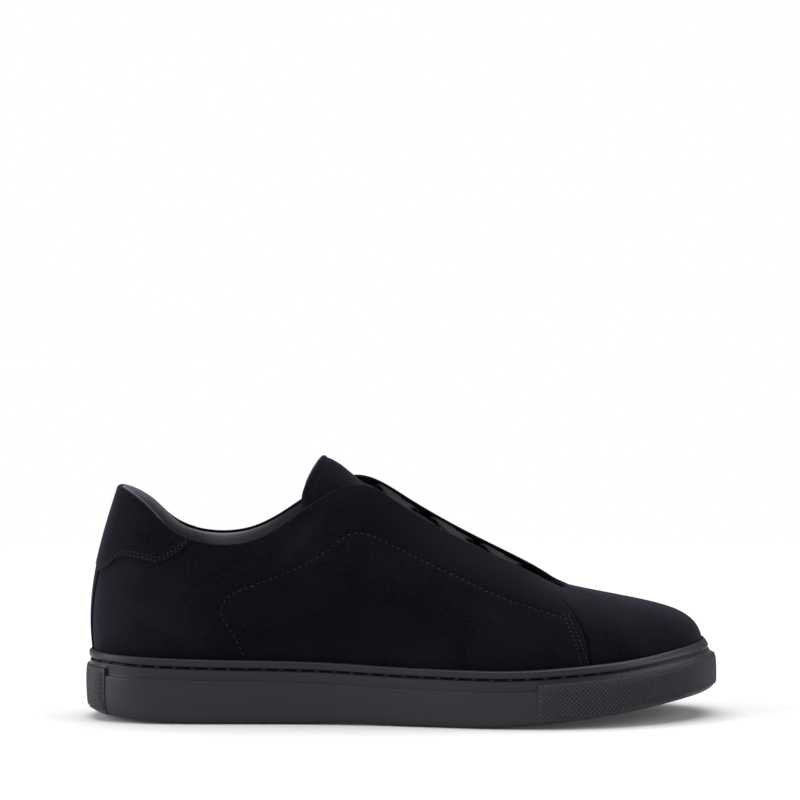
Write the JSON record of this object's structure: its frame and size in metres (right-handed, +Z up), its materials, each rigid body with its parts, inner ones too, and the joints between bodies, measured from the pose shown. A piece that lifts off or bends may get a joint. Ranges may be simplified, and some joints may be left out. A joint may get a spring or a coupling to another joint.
{
  "type": "low slip-on sneaker",
  "caption": "Low suede slip-on sneaker with a stitched rubber cup sole, a padded tongue and crossed elastic straps instead of laces; right shoe.",
  "frame": {"origin": "on the floor, at the middle of the sole's length and width", "axes": "+X towards the toe, +Y towards the inner side of the foot, +Z up"},
  "size_m": [0.298, 0.1083, 0.1242],
  "materials": {
    "sole_rubber": "dark grey moulded rubber, satin",
    "footbed": "black smooth leather",
    "suede": "black suede",
    "elastic": "dark grey woven elastic"
  },
  "bodies": {
    "root": {"cup_sole": "sole_rubber", "insole": "footbed", "upper": "suede", "heel_tab": "suede", "back_strip": "suede", "tongue": "suede", "strap_cross_rear": "elastic", "strap_cross_middle": "elastic", "strap_cross_front": "elastic"}
  },
  "joints": []
}
